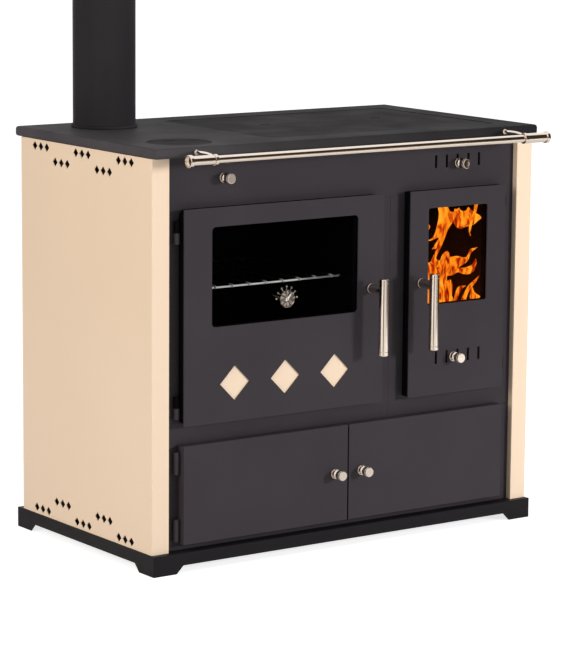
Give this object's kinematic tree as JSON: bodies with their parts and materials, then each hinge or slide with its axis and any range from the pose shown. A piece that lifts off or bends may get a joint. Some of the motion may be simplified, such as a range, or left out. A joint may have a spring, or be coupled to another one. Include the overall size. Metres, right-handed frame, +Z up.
{
  "type": "wood cookstove",
  "caption": "Wood-burning kitchen stove with a glazed oven door, a glazed fire door, a storage cupboard, a cast cooktop with lift-off plates, a towel rail and a rear flue pipe.",
  "frame": {"origin": "on the floor, under the middle of the bounding box", "axes": "+Z up along the flue pipe, +X to the right of someone facing the doors, -Y out of the doors towards that person"},
  "size_m": [0.962, 0.6176, 1.3566],
  "materials": {
    "plinth_black": "satin black enamel",
    "cream_enamel": "gloss cream enamel",
    "black_enamel": "satin charcoal enamel",
    "dark_steel": "blackened steel sheet",
    "oven_enamel": "vitreous oven enamel",
    "steel": "plain steel",
    "cast_iron": "machined and blacked",
    "firebrick": "fireclay, sooted",
    "chrome": "polished chrome plate",
    "door_glass": "clear ceramic glass",
    "fibre": "woven glass-fibre rope",
    "needle": "red paint",
    "pipe_black": "matt heat-proof black"
  },
  "bodies": {
    "stove": {"plinth": "plinth_black", "side_panel_left": "cream_enamel", "side_panel_right": "cream_enamel", "face_plate": "black_enamel", "back_panel": "dark_steel", "inner_wall_right": "dark_steel", "inner_wall_left": "dark_steel", "cupboard_frame": "black_enamel", "storage_ceiling": "dark_steel", "firebox_partition": "dark_steel", "oven_liner": "oven_enamel", "oven_rack": "steel", "hearth_plate": "cast_iron", "firebrick_left": "firebrick", "firebrick_right": "firebrick", "firebrick_back": "firebrick", "fire_grate": "cast_iron", "ash_pan": "steel", "flue_box": "dark_steel", "oven_frame": "black_enamel", "fire_frame": "black_enamel", "cooktop_frame": "cast_iron", "flue_collar": "cast_iron", "flue_pipe": "pipe_black", "rail_tube": "chrome", "rail_bracket_left": "chrome", "rail_finial_left": "chrome", "rail_bracket_right": "chrome", "rail_finial_right": "chrome"},
    "oven_door": {"oven_door_skin": "black_enamel", "oven_door_liner": "dark_steel", "oven_door_glass": "door_glass", "oven_door_gasket": "fibre", "oven_door_inlay": "cream_enamel", "oven_thermometer": "chrome"},
    "thermometer_needle": {"oven_thermometer_needle": "needle"},
    "oven_handle": {"oven_door_handle": "chrome", "oven_door_latch": "steel"},
    "fire_door": {"fire_door_skin": "black_enamel", "fire_door_liner": "dark_steel", "fire_door_glass": "door_glass", "fire_door_gasket": "fibre"},
    "fire_handle": {"fire_door_handle": "chrome", "fire_door_latch": "steel"},
    "primary_air": {"primary_air_slider": "dark_steel", "primary_air_knob": "chrome"},
    "secondary_air": {"secondary_air_slider": "dark_steel", "secondary_air_knob": "chrome"},
    "flue_damper": {"flue_damper": "steel", "flue_damper_knob": "chrome"},
    "storage_door_left": {"storage_door_left": "black_enamel", "storage_knob_left": "chrome"},
    "storage_door_right": {"storage_door_right": "black_enamel", "storage_knob_right": "chrome"},
    "hob_plate_left": {"hob_plate_left": "cast_iron"},
    "hob_plate_right": {"hob_plate_right": "cast_iron"},
    "hob_disc": {"hob_disc": "cast_iron"},
    "cleaning_lid": {"cleaning_lid": "cast_iron"}
  },
  "joints": [
    {"name": "oven_door_hinge", "type": "hinge", "parent": "stove", "child": "oven_door", "pos_m": [-0.4155, -0.20625, 0.5115], "axis": [0, 0, -1], "range_deg": [0, 105]},
    {"name": "fire_door_hinge", "type": "hinge", "parent": "stove", "child": "fire_door", "pos_m": [0.4065, -0.20625, 0.5115], "axis": [0, 0, 1], "range_deg": [0, 105]},
    {"name": "storage_door_left_hinge", "type": "hinge", "parent": "stove", "child": "storage_door_left", "pos_m": [-0.4155, -0.20625, 0.15675], "axis": [0, 0, -1], "range_deg": [0, 105]},
    {"name": "storage_door_right_hinge", "type": "hinge", "parent": "stove", "child": "storage_door_right", "pos_m": [0.4065, -0.20625, 0.15675], "axis": [0, 0, 1], "range_deg": [0, 105]},
    {"name": "oven_handle_turn", "type": "hinge", "parent": "oven_door", "child": "oven_handle", "pos_m": [0.0465, -0.22325, 0.536], "axis": [0, 1, 0], "range_deg": [0, 90]},
    {"name": "fire_handle_turn", "type": "hinge", "parent": "fire_door", "child": "fire_handle", "pos_m": [0.1765, -0.22325, 0.536], "axis": [0, -1, 0], "range_deg": [0, 90]},
    {"name": "thermometer_needle_turn", "type": "hinge", "parent": "oven_door", "child": "thermometer_needle", "pos_m": [-0.1645, -0.227, 0.532], "axis": [0, 1, 0], "range_deg": [-180, 90]},
    {"name": "primary_air_slide", "type": "slide", "parent": "fire_door", "child": "primary_air", "axis": [1, 0, 0], "range_m": [-0.007, 0.007]},
    {"name": "secondary_air_slide", "type": "slide", "parent": "stove", "child": "secondary_air", "axis": [1, 0, 0], "range_m": [-0.007, 0.007]},
    {"name": "flue_damper_slide", "type": "slide", "parent": "stove", "child": "flue_damper", "axis": [0, -1, 0], "range_m": [0, 0.08]},
    {"name": "hob_plate_left_lift", "type": "slide", "parent": "stove", "child": "hob_plate_left", "axis": [0, 0, 1], "range_m": [0, 0.06]},
    {"name": "hob_plate_right_lift", "type": "slide", "parent": "stove", "child": "hob_plate_right", "axis": [0, 0, 1], "range_m": [0, 0.06]},
    {"name": "hob_disc_lift", "type": "slide", "parent": "hob_plate_right", "child": "hob_disc", "axis": [0, 0, 1], "range_m": [0, 0.06]},
    {"name": "cleaning_lid_lift", "type": "slide", "parent": "stove", "child": "cleaning_lid", "axis": [0, 0, 1], "range_m": [0, 0.06]}
  ]
}
